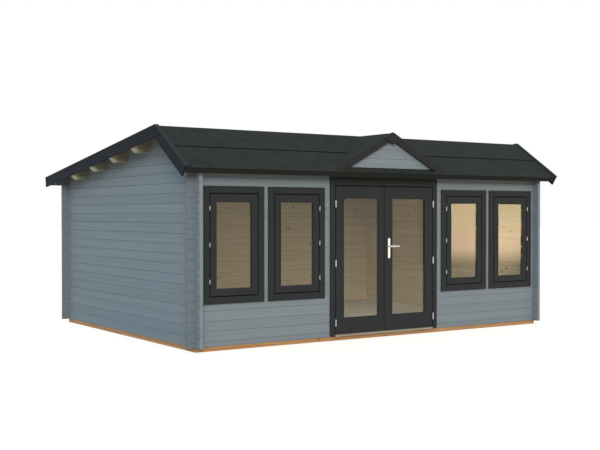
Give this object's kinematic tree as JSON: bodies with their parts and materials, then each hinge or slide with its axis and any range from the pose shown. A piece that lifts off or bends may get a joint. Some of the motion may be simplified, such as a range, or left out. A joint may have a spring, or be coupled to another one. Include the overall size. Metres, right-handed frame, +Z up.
{
  "type": "garden house",
  "caption": "Log-built garden house with an off-centre gable roof, glazed double door under a small gable, casement windows and a lever handle.",
  "frame": {"origin": "on the ground at the centre of the roof's plan", "axes": "+X to the right along the front, +Y to the back, +Z up"},
  "size_m": [5.756, 4.296, 2.5359],
  "materials": {
    "foundation_timber": "matte",
    "pine": "matte",
    "wall_paint": "matte",
    "felt": "matte",
    "roof_trim_paint": "matte",
    "joinery_paint": "satin",
    "glass": "gloss",
    "hardware": "satin",
    "threshold": "satin"
  },
  "bodies": {
    "house": {"foundation_long_beams": "foundation_timber", "foundation_end_beams": "foundation_timber", "floor_bearers": "foundation_timber", "floor_deck": "pine", "purlins": "pine", "ridge_purlin": "pine", "roof_boards_front": "pine", "roof_boards_back": "pine", "dormer_boards": "pine", "front_wall_left": "wall_paint", "front_wall_right": "wall_paint", "front_wall_over_door": "wall_paint", "back_wall": "wall_paint", "left_wall": "wall_paint", "right_wall": "wall_paint", "dormer_panel": "wall_paint", "roof_felt_front": "felt", "roof_felt_back": "felt", "dormer_felt": "felt", "front_fascia": "roof_trim_paint", "back_fascia": "roof_trim_paint", "left_barge_front": "roof_trim_paint", "left_barge_back": "roof_trim_paint", "right_barge_front": "roof_trim_paint", "right_barge_back": "roof_trim_paint", "barge_caps": "roof_trim_paint", "dormer_barges": "roof_trim_paint", "window_trims": "joinery_paint", "window_frames": "joinery_paint", "window_sashes": "joinery_paint", "door_frame": "joinery_paint", "door_trims": "joinery_paint", "window_panes": "glass", "window_hinges": "hardware", "door_frame_hinges": "hardware", "door_threshold": "threshold"},
    "left_leaf": {"left_door_leaf": "joinery_paint", "left_door_pane": "glass", "left_leaf_hinges": "hardware"},
    "right_leaf": {"right_door_leaf": "joinery_paint", "right_door_pane": "glass", "right_leaf_hinges": "hardware", "door_handle_plates": "hardware"},
    "lever": {"door_lever": "hardware"}
  },
  "joints": [
    {"name": "left_leaf_hinge", "type": "hinge", "parent": "house", "child": "left_leaf", "pos_m": [-0.768, -1.974, 0.931], "axis": [0, 0, -1], "range_deg": [0, 110]},
    {"name": "right_leaf_hinge", "type": "hinge", "parent": "house", "child": "right_leaf", "pos_m": [0.768, -1.974, 0.931], "axis": [0, 0, 1], "range_deg": [0, 110]},
    {"name": "lever_turn", "type": "hinge", "parent": "right_leaf", "child": "lever", "pos_m": [0.05, -1.941, 1.122], "axis": [0, 1, 0], "range_deg": [0, 40], "stiffness_Nm_per_rad": 1}
  ]
}
